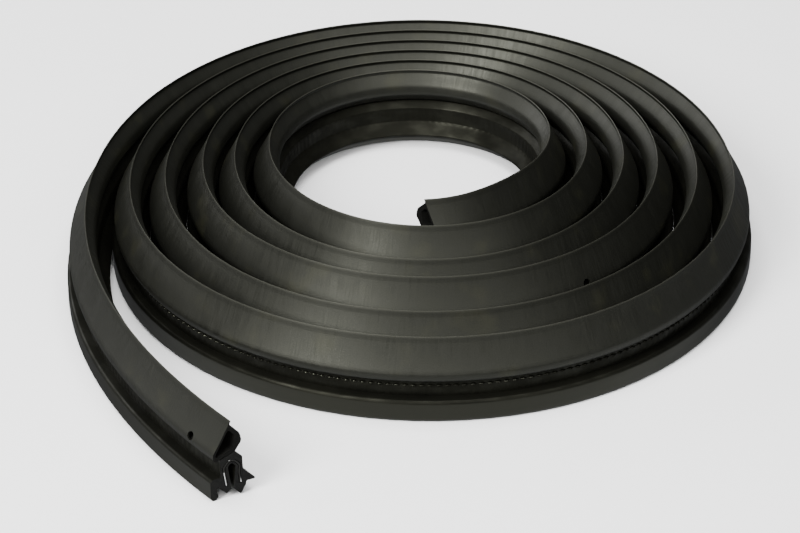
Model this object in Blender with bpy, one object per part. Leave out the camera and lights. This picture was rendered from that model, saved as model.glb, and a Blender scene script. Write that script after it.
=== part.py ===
"""Car door seal: one extruded strip wound into a flat spiral coil that lies on its clamp side.

The strip has three pieces. A hollow sponge bulb runs along the top and has small vent holes. A dense
rubber channel under it grips the door flange, with a cover flap on its outer side and a pointed lip
on its inner side. A thin steel carrier is buried in the channel and shows only where the strip is cut.

Section coordinates are u, positive towards the middle of the coil, and z, up from the floor.
All lengths are in metres.
"""
from math import pi, radians

import bmesh
import bpy
import numpy as np
from mathutils import Matrix, Vector

MM = 0.001

# Bulb: height, reach to both sides and skins of the hollow
SEAL_HEIGHT = 34.0 * MM
RIDGE_HEIGHT = 1.6 * MM
RIDGE_SET_BACK = 0.35 * MM
SHOULDER_DROP = 6.3 * MM
SHOULDER_REACH = 3.6 * MM
BULB_IN_REACH = 4.4 * MM
BULB_OUT_REACH = 7.0 * MM
BELLY_DROP = 8.7 * MM
WAIST_SET_BACK = 1.6 * MM
HIP_RISE = 3.3 * MM
HEEL_RISE = 1.2 * MM
OUTER_SKIN = 1.3 * MM
INNER_SKIN = 2.4 * MM
BULB_FLOOR = 1.6 * MM

# Seat between bulb and channel: a slanted line, lower on the outer side
SEAT_OUT_Z = 17.0 * MM
SEAT_IN_Z = 20.3 * MM
SEAT_OUT_REACH = 6.0 * MM
SEAT_IN_REACH = 1.9 * MM
WAIST_RISE = 1.5 * MM

# Channel: outer walls, cavity, mouth and legs; the cavity narrows from its shoulder to the mouth
CHANNEL_OUT_REACH = 4.3 * MM
CHANNEL_IN_REACH = 4.7 * MM
CHANNEL_CORNER_DROP = 3.2 * MM
CAVITY_WIDTH = 3.0 * MM
CAVITY_CENTRE = 0.2 * MM
CAVITY_ROOF_Z = 15.4 * MM
MOUTH_CENTRE = 0.4 * MM
MOUTH_WIDTH = 0.8 * MM
MOUTH_Z = 3.6 * MM
OUT_LEG_Z = 2.0 * MM
OUT_LEG_SET_BACK = 2.0 * MM
IN_LEG_Z = 0.2 * MM
IN_LEG_TIP_U = 3.6 * MM
IN_LEG_HEEL_U = 5.6 * MM
IN_LEG_HEEL_Z = 4.0 * MM

# Cover flap on the outer side: the foot that the strip lies on
FLAP_REACH = 8.3 * MM
FLAP_THICKNESS = 1.9 * MM
FLAP_ROOT_Z = 13.6 * MM
FLAP_SHOULDER_Z = 9.4 * MM
FLAP_VALLEY_Z = 6.2 * MM
FLAP_FOOT_WIDTH = 1.2 * MM
FLAP_FOOT_RISE = 1.2 * MM

# Pointed lip on the inner side
LIP_REACH = 9.2 * MM
LIP_TIP_Z = 5.6 * MM
LIP_TIP_THICKNESS = 0.8 * MM
LIP_ROOT_TOP_Z = 13.6 * MM
LIP_ROOT_LOW_Z = 5.6 * MM
LIP_ROOT_LOW_U = 5.9 * MM

# Steel carrier: a thin strip bent over the cavity, in a slot with the clearance all round
STEEL_THICKNESS = 0.6 * MM
CARRIER_LEG_Z = 5.6 * MM
CARRIER_COVER = 1.7 * MM
CARRIER_OUT_FOOT_COVER = 1.6 * MM
CARRIER_IN_FOOT_COVER = 2.6 * MM
CARRIER_ROOF_COVER = 1.8 * MM
CLEARANCE = 0.3 * MM

# Slant of the two hand-made cuts: advance along the strip for each unit of u
INNER_CUT_SLANT = -0.75
OUTER_CUT_SLANT = 0.25

# Vent holes through the outer skin of the bulb
VENT_DIAMETER = 3.5 * MM
VENT_RISE = 4.2 * MM
VENT_FROM_END = 15.2 * MM
VENT_SPACING = 2.198
VENT_SIDES = 12

# Coil: distance of the ridge from the middle, in turns counted from the front of the bore outwards
COIL_START = 0.02
COIL_END = 5.70
START_RADIUS = 54.1 * MM
PITCH = 14.8 * MM
OFF_CENTRE = -11.9 * MM
DRIFT_PER_TURN = 5.6 * MM
SIDE_SHIFT = 3.1 * MM
SIDE_DRIFT = 0.5 * MM
OVAL = 1.7 * MM
OVAL_PER_TURN = 0.5 * MM
# Each push is where the strip bulges out or lies flatter: turn, distance and spread in turns
PUSHES = (
    (0.16, -5.6 * MM, 0.11),
    (2.00, 6.1 * MM, 0.17),
    (3.00, -1.0 * MM, 0.17),
    (4.00, 4.5 * MM, 0.17),
    (5.00, 2.8 * MM, 0.17),
)

# Free tail: it leaves the outer turn along a bend that eases from the first radius to the second
TAIL_START_RADIUS = 178.0 * MM
TAIL_END_RADIUS = 372.0 * MM
TAIL_LENGTH = 267.0 * MM

# Where turns are packed close, the soft flap, lip and bulb are pressed narrower
TURN_GAP = 0.6 * MM
FOOT_ZONE_Z = 10.2 * MM
NECK_LOW_Z = 13.6 * MM
NECK_HIGH_Z = 15.2 * MM

STATIONS_PER_TURN = 20
TAIL_STATIONS = 8
# Part of a turn over which a direction is measured, and of a tail step that is summed
SMALL_TURN = 0.0001
TAIL_SUBSTEPS = 10
# Edges that turn more than this stay sharp
SHARP_ANGLE = radians(32)


def ridge_radius(turn):
    """Distance of the ridge from the middle of the coil at a turn number."""
    angle = 2 * pi * turn
    radius = START_RADIUS + PITCH * turn
    radius = radius + (OFF_CENTRE + DRIFT_PER_TURN * turn) * np.cos(angle)
    radius = radius + (SIDE_SHIFT + SIDE_DRIFT * turn) * np.sin(angle)
    radius = radius + (OVAL + OVAL_PER_TURN * turn) * np.cos(2 * angle)
    for place, push, spread in PUSHES:
        radius = radius + push * np.exp(-(((turn - place) / spread) ** 2))
    return radius


def coil_point(turn):
    """Point of the ridge line on the floor plan; turn 0 is at the front and turns run to the right."""
    angle = 2 * pi * turn
    radius = ridge_radius(turn)
    return np.stack([radius * np.sin(angle), -radius * np.cos(angle)], axis=-1)


def tail_run(start, along):
    """Plan points and unit directions of the tail, from the outer turn's last point and direction."""
    count = TAIL_STATIONS * TAIL_SUBSTEPS
    run = np.linspace(0.0, TAIL_LENGTH, count + 1)
    easing = (1 / TAIL_END_RADIUS - 1 / TAIL_START_RADIUS) * run**2 / (2 * TAIL_LENGTH)
    heading = np.arctan2(along[1], along[0]) + run / TAIL_START_RADIUS + easing
    ways = np.stack([np.cos(heading), np.sin(heading)], axis=1)
    steps = (ways[1:] + ways[:-1]) / 2 * (TAIL_LENGTH / count)
    points = start + np.cumsum(steps, axis=0)
    kept = slice(TAIL_SUBSTEPS - 1, None, TAIL_SUBSTEPS)
    return points[kept], ways[1:][kept]


def route():
    """Plan points of the ridge, unit directions and the room to the inner and outer neighbour turn."""
    count = round((COIL_END - COIL_START) * STATIONS_PER_TURN) + 1
    turns, step = np.linspace(COIL_START, COIL_END, count, retstep=True)
    points = coil_point(turns)
    ahead = coil_point(turns + SMALL_TURN) - coil_point(turns - SMALL_TURN)
    directions = ahead / np.linalg.norm(ahead, axis=1, keepdims=True)

    first = COIL_START + 1
    room_in = np.where(turns > first, ridge_radius(turns) - ridge_radius(turns - 1), np.inf)
    room_out = np.where(turns < COIL_END - 1 + step, ridge_radius(turns + 1) - ridge_radius(turns), np.inf)

    tail, tail_ways = tail_run(points[-1], directions[-1])
    open_side = np.full(TAIL_STATIONS, np.inf)
    return (
        np.concatenate([points, tail]),
        np.concatenate([directions, tail_ways]),
        np.concatenate([room_in, open_side]),
        np.concatenate([room_out, open_side]),
    )


def squeeze(z, room):
    """Share of the free reach that is left at height z where the next turn leaves this room."""
    foot = min(1.0, (room - TURN_GAP) / (FLAP_REACH + LIP_REACH))
    neck = min(1.0, (room - TURN_GAP) / (CHANNEL_OUT_REACH + CHANNEL_IN_REACH))
    bulb = min(1.0, (room - TURN_GAP) / (BULB_OUT_REACH + BULB_IN_REACH))
    heights = (FOOT_ZONE_Z, NECK_LOW_Z, NECK_HIGH_Z, SEAT_OUT_Z)
    return np.interp(z, heights, (foot, neck, neck, bulb))


def meet(line, other):
    """Crossing point of two lines, each given by two points."""
    (a, b), (c, d) = line, other
    along, across, gap = b - a, d - c, c - a
    spread = along.x * across.y - along.y * across.x
    reach = (gap.x * across.y - gap.y * across.x) / spread
    return a + along * reach


def moved_in(a, b, distance):
    """The line from a to b, moved by a distance to its right."""
    along = (b - a).normalized()
    shift = Vector((along.y, -along.x)) * distance
    return a + shift, b + shift


def bulb_corners():
    """Outer corners of the bulb by name."""
    return {
        "tip": Vector((0.0, SEAL_HEIGHT)),
        "ridge_foot": Vector((-RIDGE_SET_BACK, SEAL_HEIGHT - RIDGE_HEIGHT)),
        "shoulder": Vector((SHOULDER_REACH, SEAL_HEIGHT - SHOULDER_DROP)),
        "belly": Vector((BULB_IN_REACH, SEAL_HEIGHT - BELLY_DROP)),
        "waist": Vector((BULB_IN_REACH - WAIST_SET_BACK, SEAT_IN_Z + WAIST_RISE)),
        "seat_in": Vector((SEAT_IN_REACH, SEAT_IN_Z)),
        "seat_out": Vector((-SEAT_OUT_REACH, SEAT_OUT_Z)),
        "heel": Vector((-BULB_OUT_REACH, SEAT_OUT_Z + HEEL_RISE)),
        "hip": Vector((-BULB_OUT_REACH, SEAT_OUT_Z + HIP_RISE)),
    }


def bulb_outline():
    """Outer outline of the bulb, clockwise from the tip of the ridge."""
    return list(bulb_corners().values())


def hollow_outline():
    """Outline of the bulb's hollow: its walls moved in by their skins, clockwise."""
    at = bulb_corners()
    slope = moved_in(at["ridge_foot"], at["shoulder"], INNER_SKIN)
    side = moved_in(at["shoulder"], at["waist"], INNER_SKIN)
    floor = moved_in(at["seat_in"], at["seat_out"], BULB_FLOOR)
    heel = moved_in(at["heel"], at["hip"], OUTER_SKIN)
    face = moved_in(at["hip"], at["tip"], OUTER_SKIN)
    walls = [slope, side, floor, heel, face]
    return [meet(wall, after) for wall, after in zip(walls, walls[1:] + walls[:1])]


def seat_point(u):
    """Point on the seat line, just under the bulb, at a given u."""
    share = (u + SEAT_OUT_REACH) / (SEAT_IN_REACH + SEAT_OUT_REACH)
    return Vector((u, SEAT_OUT_Z + share * (SEAT_IN_Z - SEAT_OUT_Z) - CLEARANCE))


def cavity_side(z, way):
    """The u of the cavity's side at height z; way is -1 for the outer side and 1 for the inner side."""
    mouth = MOUTH_CENTRE + way * MOUTH_WIDTH / 2
    shoulder = CAVITY_CENTRE + way * CAVITY_WIDTH / 2
    return mouth + (shoulder - mouth) * (z - MOUTH_Z) / (NECK_LOW_Z - MOUTH_Z)


def channel_outline():
    """Outline of the rubber channel, clockwise from the outer end of its roof."""
    flap_in = FLAP_REACH - FLAP_THICKNESS
    leg_out = MOUTH_CENTRE - MOUTH_WIDTH / 2
    return [
        seat_point(-CHANNEL_OUT_REACH),
        seat_point(SEAT_IN_REACH - CLEARANCE),
        Vector((CHANNEL_IN_REACH - CLEARANCE, SEAT_IN_Z - CHANNEL_CORNER_DROP)),
        Vector((CHANNEL_IN_REACH, LIP_ROOT_TOP_Z)),
        Vector((LIP_REACH, LIP_TIP_Z + LIP_TIP_THICKNESS)),
        Vector((LIP_REACH, LIP_TIP_Z)),
        Vector((LIP_ROOT_LOW_U, LIP_ROOT_LOW_Z)),
        Vector((IN_LEG_HEEL_U, IN_LEG_HEEL_Z)),
        Vector((IN_LEG_TIP_U, IN_LEG_Z)),
        Vector((MOUTH_CENTRE + MOUTH_WIDTH / 2, MOUTH_Z)),
        Vector((cavity_side(FOOT_ZONE_Z, 1), FOOT_ZONE_Z)),
        Vector((cavity_side(NECK_LOW_Z, 1), NECK_LOW_Z)),
        Vector((CAVITY_CENTRE, CAVITY_ROOF_Z)),
        Vector((cavity_side(NECK_LOW_Z, -1), NECK_LOW_Z)),
        Vector((cavity_side(FOOT_ZONE_Z, -1), FOOT_ZONE_Z)),
        Vector((leg_out, MOUTH_Z)),
        Vector((leg_out - OUT_LEG_SET_BACK, OUT_LEG_Z)),
        Vector((-flap_in + CLEARANCE, FLAP_VALLEY_Z)),
        Vector((-FLAP_REACH + FLAP_THICKNESS + FLAP_FOOT_WIDTH, FLAP_FOOT_RISE)),
        Vector((-flap_in, 0.0)),
        Vector((-flap_in - FLAP_FOOT_WIDTH, 0.0)),
        Vector((-FLAP_REACH, FLAP_FOOT_RISE)),
        Vector((-FLAP_REACH, FLAP_SHOULDER_Z - FLAP_FOOT_RISE)),
        Vector((-flap_in - FLAP_FOOT_WIDTH, FLAP_SHOULDER_Z)),
        Vector((-CHANNEL_OUT_REACH, FLAP_ROOT_Z)),
    ]


def carrier_leg(way, foot_cover):
    """Points of one leg of the steel beside the cavity, from its foot up to the cavity's shoulder."""
    covers = ((CARRIER_LEG_Z, foot_cover), (FOOT_ZONE_Z, CARRIER_COVER), (NECK_LOW_Z, CARRIER_COVER))
    return [Vector((cavity_side(z, way) + way * cover, z)) for z, cover in covers]


def carrier_path():
    """Middle line of the steel, from its outer leg over the cavity to its inner leg."""
    top = Vector((CAVITY_CENTRE, CAVITY_ROOF_Z + CARRIER_ROOF_COVER))
    return carrier_leg(-1, CARRIER_OUT_FOOT_COVER) + [top] + carrier_leg(1, CARRIER_IN_FOOT_COVER)[::-1]


def thickened(path, thickness, extra_length=0.0):
    """Closed outline of a path with a thickness, mitred at its bends."""
    path = [point.copy() for point in path]
    path[0] += (path[0] - path[1]).normalized() * extra_length
    path[-1] += (path[-1] - path[-2]).normalized() * extra_length
    ways = [(b - a).normalized() for a, b in zip(path, path[1:])]
    normals = [Vector((way.y, -way.x)) for way in ways]
    before, after = [normals[0]] + normals, normals + [normals[-1]]
    mitres = [(n + m) / (1 + n.dot(m)) for n, m in zip(before, after)]
    one_side = [point + mitre * (thickness / 2) for point, mitre in zip(path, mitres)]
    other_side = [point - mitre * (thickness / 2) for point, mitre in zip(path, mitres)]
    return other_side + one_side[::-1]


def swept_rings(outline):
    """Outline carried along the route: an array of stations by points by x, y, z."""
    points, directions, room_in, room_out = route()
    u = np.array([corner.x for corner in outline])
    z = np.array([corner.y for corner in outline])
    inward = np.stack([-directions[:, 1], directions[:, 0]], axis=1)
    rings = np.empty((len(points), len(outline), 3))
    for station, (place, inner, outer) in enumerate(zip(points, room_in, room_out)):
        reach = u * np.where(u > 0, squeeze(z, inner), squeeze(z, outer))
        rings[station, :, :2] = place + np.outer(reach, inward[station])
        rings[station, :, 2] = z
    rings[0, :, :2] += np.outer(u * INNER_CUT_SLANT, directions[0])
    rings[-1, :, :2] += np.outer(u * OUTER_CUT_SLANT, directions[-1])
    return rings


def coil_offset():
    """Shift that puts the middle of the coil's box, on the floor, at the origin."""
    corners = np.concatenate([swept_rings(bulb_outline()), swept_rings(channel_outline())], axis=1)
    low, high = corners[..., :2].min(axis=(0, 1)), corners[..., :2].max(axis=(0, 1))
    return -(low + high) / 2


def add_tube(mesh, rings):
    """Side faces of one swept outline; returns the edges of its first and last ring."""
    verts = [[mesh.verts.new(point) for point in ring] for ring in rings]
    count = len(verts[0])
    for ring, after in zip(verts, verts[1:]):
        for i in range(count):
            j = (i + 1) % count
            mesh.faces.new((ring[i], after[i], after[j], ring[j]))
    ends = []
    for ring in (verts[0], verts[-1]):
        ends.append([mesh.edges.get((ring[i], ring[(i + 1) % count])) for i in range(count)])
    return ends


def swept_object(name, outline, material, hole=None):
    """Solid strip with this outline along the route, with an optional hole open at both ends."""
    shift = coil_offset()
    mesh = bmesh.new()
    loops = []
    for shape in (outline, hole):
        if shape is not None:
            rings = swept_rings(shape)
            rings[..., :2] += shift
            loops.append(add_tube(mesh, rings))
    for end in (0, 1):
        rim = [edge for loop in loops for edge in loop[end]]
        bmesh.ops.triangle_fill(mesh, edges=rim, use_beauty=True, use_dissolve=False)
    bmesh.ops.recalc_face_normals(mesh, faces=mesh.faces)
    data = bpy.data.meshes.new(name)
    mesh.to_mesh(data)
    mesh.free()
    data.shade_smooth()
    data.set_sharp_from_angle(angle=SHARP_ANGLE)
    piece = bpy.data.objects.new(name, data)
    piece.data.materials.append(material)
    bpy.context.scene.collection.objects.link(piece)
    return piece


def vent_places():
    """Point on the outer face and outward direction of each vent hole, from the outer end inwards."""
    points, directions, _, room_out = route()
    steps = np.linalg.norm(np.diff(points, axis=0), axis=1)
    run = np.concatenate([[0.0], np.cumsum(steps)])
    corners = bulb_corners()
    face = corners["tip"] - corners["hip"]
    share = (VENT_RISE - HIP_RISE) / face.y
    at = corners["hip"] + face * share
    normal = Vector((-face.y, face.x)).normalized()
    distance = run[-1] - VENT_FROM_END
    places = []
    while distance > VENT_FROM_END:
        place = np.array([np.interp(distance, run, points[:, axis]) for axis in (0, 1)])
        way = np.array([np.interp(distance, run, directions[:, axis]) for axis in (0, 1)])
        inward = np.array([-way[1], way[0]]) / np.linalg.norm(way)
        room = room_out[np.searchsorted(run, distance)]
        flat = place + at.x * squeeze(at.y, room) * inward + coil_offset()
        outward = normal.x * inward
        places.append((Vector((*flat, at.y)), Vector((*outward, normal.y))))
        distance -= VENT_SPACING
    return places


def cut_vents(bulb):
    """Drill the vent holes through the outer skin into the hollow."""
    depth = 2 * OUTER_SKIN
    for number, (place, outward) in enumerate(vent_places()):
        bpy.ops.mesh.primitive_cylinder_add(vertices=VENT_SIDES, radius=VENT_DIAMETER / 2, depth=2 * depth)
        cutter = bpy.context.object
        cutter.name = f"vent_cutter_{number + 1}"
        turned = outward.to_track_quat("Z", "Y").to_matrix().to_4x4()
        cutter.matrix_world = Matrix.Translation(place) @ turned
        cutter.hide_render = True
        cutter.display_type = "WIRE"
        cut = bulb.modifiers.new(f"vent_{number + 1}", "BOOLEAN")
        cut.operation = "DIFFERENCE"
        cut.solver = "EXACT"
        cut.object = cutter


def finish(name, colour, roughness, metallic):
    """Principled material with one colour."""
    material = bpy.data.materials.new(name)
    material.use_nodes = True
    shader = material.node_tree.nodes["Principled BSDF"]
    shader.inputs["Base Color"].default_value = (*colour, 1.0)
    shader.inputs["Roughness"].default_value = roughness
    shader.inputs["Metallic"].default_value = metallic
    return material


def main():
    for item in list(bpy.data.objects):
        bpy.data.objects.remove(item, do_unlink=True)
    sponge = finish("sponge_rubber", (0.022, 0.022, 0.018), 0.55, 0.0)
    dense = finish("dense_rubber", (0.010, 0.010, 0.009), 0.38, 0.0)
    steel = finish("carrier_steel", (0.55, 0.55, 0.54), 0.35, 1.0)
    bulb = swept_object("bulb", bulb_outline(), sponge, hole=hollow_outline())
    cut_vents(bulb)
    path = carrier_path()
    slot = thickened(path, STEEL_THICKNESS + 2 * CLEARANCE, extra_length=CLEARANCE)
    swept_object("channel", channel_outline(), dense, hole=slot)
    swept_object("carrier", thickened(path, STEEL_THICKNESS), steel)


main()
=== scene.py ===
"""Looks of a car door seal: one extruded strip wound into a flat spiral coil on a pale floor.

The strip is a hollow sponge rubber bulb on a dense rubber clamp channel with a buried steel carrier.
Each of the three is a profile carried along the coil's route. Section coordinates are u, positive
towards the middle of the coil, and z, up from the floor. All lengths are in metres.
"""
import logging
from dataclasses import dataclass, field, replace
from enum import Enum
from math import ceil, cos, pi, radians, sin

import bmesh
import bpy
import numpy as np
from mathutils import Matrix, Vector


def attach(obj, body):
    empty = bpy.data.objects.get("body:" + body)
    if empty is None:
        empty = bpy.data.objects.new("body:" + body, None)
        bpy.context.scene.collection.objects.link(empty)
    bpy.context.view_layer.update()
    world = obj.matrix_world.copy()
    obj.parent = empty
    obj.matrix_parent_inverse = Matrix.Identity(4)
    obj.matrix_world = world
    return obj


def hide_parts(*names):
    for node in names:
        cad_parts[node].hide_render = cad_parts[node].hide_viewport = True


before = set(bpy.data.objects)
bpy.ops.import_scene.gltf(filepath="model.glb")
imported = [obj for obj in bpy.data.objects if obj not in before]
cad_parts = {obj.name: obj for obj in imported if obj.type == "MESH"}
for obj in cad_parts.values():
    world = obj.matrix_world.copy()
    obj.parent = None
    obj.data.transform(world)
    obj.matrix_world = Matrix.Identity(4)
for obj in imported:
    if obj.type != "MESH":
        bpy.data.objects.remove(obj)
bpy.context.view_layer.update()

MM = 0.001
UV_NAME = "strip"
log = logging.getLogger("door_seal")


class Side(Enum):
    """Side of the strip, as the sign of u."""

    INNER = 1
    OUTER = -1


class Slot(Enum):
    """Material slots of the record."""

    SPONGE = "sponge_rubber"
    DENSE = "dense_rubber"
    STEEL = "carrier_steel"


@dataclass(frozen=True)
class Corner:
    """Corner of an outline: its place, its rounding, and the cuts and outward bow of the edge after it."""

    u: float
    z: float
    radius: float = 0.0
    cuts: int = 1
    bow: float = 0.0


@dataclass(frozen=True)
class Rounding:
    """How finely corners are rounded, and the share of an edge that one arc may take."""

    step: float = radians(18)
    edge_share: float = 0.46

    def outline(self, corners: list[Corner]) -> np.ndarray:
        """Round the corners of a clockwise outline.

        An arc point is the arc's start, plus the radius times the sine of the angle turned so far along
        the arriving edge, plus the radius times one minus the cosine towards the side that it turns to.
        An edge point is on the straight line, plus 4 s (1 - s) of the bow to the left, which is outwards.

        Args:
            corners: Corners in clockwise order, with z up and u to the right.

        Returns:
            Points of the closed outline, as an array of points by u and z.
        """
        at = np.array([(corner.u, corner.z) for corner in corners])
        gaps = np.roll(at, -1, axis=0) - at
        lengths = np.linalg.norm(gaps, axis=1)
        ways = gaps / lengths[:, None]
        arcs = []
        for number, corner in enumerate(corners):
            arrive, leave = ways[number - 1], ways[number]
            turn = np.arctan2(arrive[0] * leave[1] - arrive[1] * leave[0], arrive @ leave)
            room = self.edge_share * min(lengths[number - 1], lengths[number])
            slope = np.tan(abs(turn) / 2)
            reach = min(corner.radius * slope, room)
            if reach <= 0.0:
                arcs.append(at[number : number + 1])
                continue
            angles = np.linspace(0.0, abs(turn), ceil(abs(turn) / self.step) + 1)[:, None]
            aside = np.array([-arrive[1], arrive[0]]) * np.sign(turn)
            bend = np.sin(angles) * arrive + (1 - np.cos(angles)) * aside
            arcs.append(at[number] - reach * arrive + reach / slope * bend)
        pieces = []
        for corner, arc, following in zip(corners, arcs, arcs[1:] + arcs[:1]):
            share = np.arange(1, corner.cuts)[:, None] / corner.cuts
            edge = following[0] - arc[-1]
            outward = np.array([-edge[1], edge[0]]) / np.linalg.norm(edge)
            line = arc[-1] + share * edge + 4 * share * (1 - share) * corner.bow * outward
            pieces += [arc, line]
        return np.concatenate(pieces)


@dataclass(frozen=True)
class SealSection:
    """Sizes of the strip's section and the roundings of its corners.

    They are those of the solids, but for thinner walls round the hollow, the blunt ridge and the crease
    under it, the hollow of the face, the lower belly and the lower roots of flap and lip.
    """

    height: float = 34.0 * MM
    ridge_height: float = 1.6 * MM
    ridge_set_back: float = 0.35 * MM
    shoulder_drop: float = 6.3 * MM
    shoulder_reach: float = 3.6 * MM
    bulb_in_reach: float = 4.4 * MM
    bulb_out_reach: float = 7.0 * MM
    belly_drop: float = 8.7 * MM
    waist_set_back: float = 1.6 * MM
    hip_rise: float = 3.3 * MM
    heel_rise: float = 1.2 * MM
    outer_skin: float = 1.0 * MM
    inner_skin: float = 1.8 * MM
    bulb_floor: float = 1.5 * MM
    seat_out_z: float = 17.0 * MM
    seat_in_z: float = 20.3 * MM
    seat_out_reach: float = 6.0 * MM
    seat_in_reach: float = 1.9 * MM
    waist_rise: float = 1.5 * MM
    channel_out_reach: float = 4.3 * MM
    channel_in_reach: float = 4.7 * MM
    channel_corner_drop: float = 3.2 * MM
    cavity_width: float = 3.0 * MM
    cavity_centre: float = 0.2 * MM
    cavity_roof_z: float = 15.4 * MM
    mouth_centre: float = 0.4 * MM
    mouth_width: float = 0.8 * MM
    mouth_z: float = 3.6 * MM
    out_leg_z: float = 2.0 * MM
    out_leg_set_back: float = 2.0 * MM
    in_leg_z: float = 0.2 * MM
    in_leg_tip_u: float = 3.6 * MM
    in_leg_heel_u: float = 5.6 * MM
    in_leg_heel_z: float = 4.0 * MM
    flap_reach: float = 8.3 * MM
    flap_thickness: float = 1.9 * MM
    flap_root_z: float = 13.6 * MM
    flap_shoulder_z: float = 9.4 * MM
    flap_valley_z: float = 6.2 * MM
    flap_foot_width: float = 1.2 * MM
    flap_foot_rise: float = 1.2 * MM
    lip_reach: float = 9.2 * MM
    lip_tip_z: float = 5.6 * MM
    lip_tip_thickness: float = 0.8 * MM
    lip_root_top_z: float = 13.6 * MM
    lip_root_low_z: float = 5.6 * MM
    lip_root_low_u: float = 5.9 * MM
    steel_thickness: float = 0.6 * MM
    carrier_leg_z: float = 5.6 * MM
    carrier_cover: float = 1.7 * MM
    carrier_out_foot_cover: float = 1.6 * MM
    carrier_in_foot_cover: float = 2.6 * MM
    carrier_roof_cover: float = 1.8 * MM
    clearance: float = 0.3 * MM
    foot_zone_z: float = 10.2 * MM
    neck_low_z: float = 13.6 * MM
    neck_high_z: float = 15.2 * MM
    face_bow: float = -0.10 * MM
    crease_drop: float = 2.6 * MM
    crease_depth: float = 0.20 * MM
    crease_radius: float = 2.0 * MM
    belly_sag: float = 1.2 * MM
    ridge_width: float = 0.32 * MM
    ridge_radius: float = 0.08 * MM
    ridge_foot_radius: float = 0.9 * MM
    shoulder_radius: float = 3.4 * MM
    belly_radius: float = 2.6 * MM
    waist_radius: float = 1.0 * MM
    seat_in_radius: float = 0.2 * MM
    seat_out_radius: float = 0.9 * MM
    heel_radius: float = 1.6 * MM
    hip_radius: float = 2.6 * MM
    hollow_radius: float = 0.7 * MM
    roof_out_radius: float = 0.2 * MM
    roof_in_radius: float = 0.8 * MM
    wall_top_radius: float = 1.0 * MM
    lip_root_radius: float = 1.2 * MM
    lip_top_radius: float = 0.5 * MM
    lip_tip_radius: float = 0.35 * MM
    lip_heel_radius: float = 0.5 * MM
    in_leg_heel_radius: float = 0.8 * MM
    leg_tip_radius: float = 0.5 * MM
    mouth_radius: float = 0.4 * MM
    neck_radius: float = 1.2 * MM
    cavity_roof_radius: float = 0.9 * MM
    flap_valley_radius: float = 0.5 * MM
    flap_foot_radius: float = 0.9 * MM
    flap_shoulder_radius: float = 1.2 * MM
    carrier_shoulder_radius: float = 1.8 * MM
    carrier_roof_radius: float = 2.2 * MM
    flap_root_drop: float = 3.9 * MM
    lip_root_drop: float = 2.6 * MM
    rounding: Rounding = Rounding()
    coarse_rounding: Rounding = Rounding(step=radians(30))

    def bulb_corners(self) -> dict[str, Corner]:
        """Corners of the bulb by name, clockwise from the tip of its ridge.

        Returns:
            The corners, in their order round the outline.
        """
        foot_z = self.height - self.ridge_height
        belly_z = self.height - self.belly_drop
        waist_u, waist_z = self.bulb_in_reach - self.waist_set_back, self.seat_in_z + self.waist_rise
        hip_z = self.seat_out_z + self.hip_rise
        return {
            "tip": Corner(0.0, self.height, self.ridge_radius),
            "ridge_foot": Corner(-self.ridge_set_back, foot_z, self.ridge_foot_radius, cuts=3),
            "shoulder": Corner(self.shoulder_reach, self.height - self.shoulder_drop, self.shoulder_radius),
            "belly": Corner(self.bulb_in_reach, belly_z, self.belly_radius, cuts=2),
            "waist": Corner(waist_u, waist_z, self.waist_radius),
            "seat_in": Corner(self.seat_in_reach, self.seat_in_z, self.seat_in_radius),
            "seat_out": Corner(-self.seat_out_reach, self.seat_out_z, self.seat_out_radius),
            "heel": Corner(-self.bulb_out_reach, self.seat_out_z + self.heel_rise, self.heel_radius),
            "hip": Corner(-self.bulb_out_reach, hip_z, self.hip_radius, cuts=9, bow=self.face_bow),
        }

    def bulb_outline(self) -> np.ndarray:
        """Rounded outer outline of the bulb, with a blunt ridge, a crease just under it and a low belly.

        The crease is on the line from the tip to the hip, its drop down that line, and then its depth
        inwards at a right angle.

        Returns:
            Points of the outline, clockwise from the tip, as points by u and z.
        """
        named = self.bulb_corners()
        hip, tip = (np.array([named[name].u, named[name].z]) for name in ("hip", "tip"))
        face = (tip - hip) / np.linalg.norm(tip - hip)
        crease = tip - face * self.crease_drop + np.array([face[1], -face[0]]) * self.crease_depth
        named["belly"] = replace(named["belly"], z=named["belly"].z - self.belly_sag)
        named["crease"] = Corner(*crease, self.crease_radius, cuts=2)
        blunt_side = Corner(self.ridge_width, self.height - self.ridge_width, self.ridge_radius)
        first, *others = named.values()
        return self.rounding.outline([first, blunt_side, *others])

    def hollow_outline(self) -> np.ndarray:
        """Outline of the bulb's hollow.

        Each wall's line is moved to its right by its skin, and each corner is where two such lines cross.

        Returns:
            Points of the hollow, clockwise, as points by u and z.
        """
        walls = (
            ("ridge_foot", "shoulder", self.inner_skin),
            ("shoulder", "waist", self.inner_skin),
            ("seat_in", "seat_out", self.bulb_floor),
            ("heel", "hip", self.outer_skin),
            ("hip", "tip", self.outer_skin),
        )
        named = self.bulb_corners()
        ends = np.array([[(named[name].u, named[name].z) for name in wall[:2]] for wall in walls])
        along = ends[:, 1] - ends[:, 0]
        along /= np.linalg.norm(along, axis=1, keepdims=True)
        skins = np.array([wall[2] for wall in walls])
        start = ends[:, 0] + skins[:, None] * np.stack([along[:, 1], -along[:, 0]], axis=1)
        crossing, gap = np.roll(along, -1, axis=0), np.roll(start, -1, axis=0) - start
        spread = along[:, 0] * crossing[:, 1] - along[:, 1] * crossing[:, 0]
        reach = (gap[:, 0] * crossing[:, 1] - gap[:, 1] * crossing[:, 0]) / spread
        corners = start + along * reach[:, None]
        return self.rounding.outline([Corner(u, z, self.hollow_radius, cuts=2) for u, z in corners])

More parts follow.
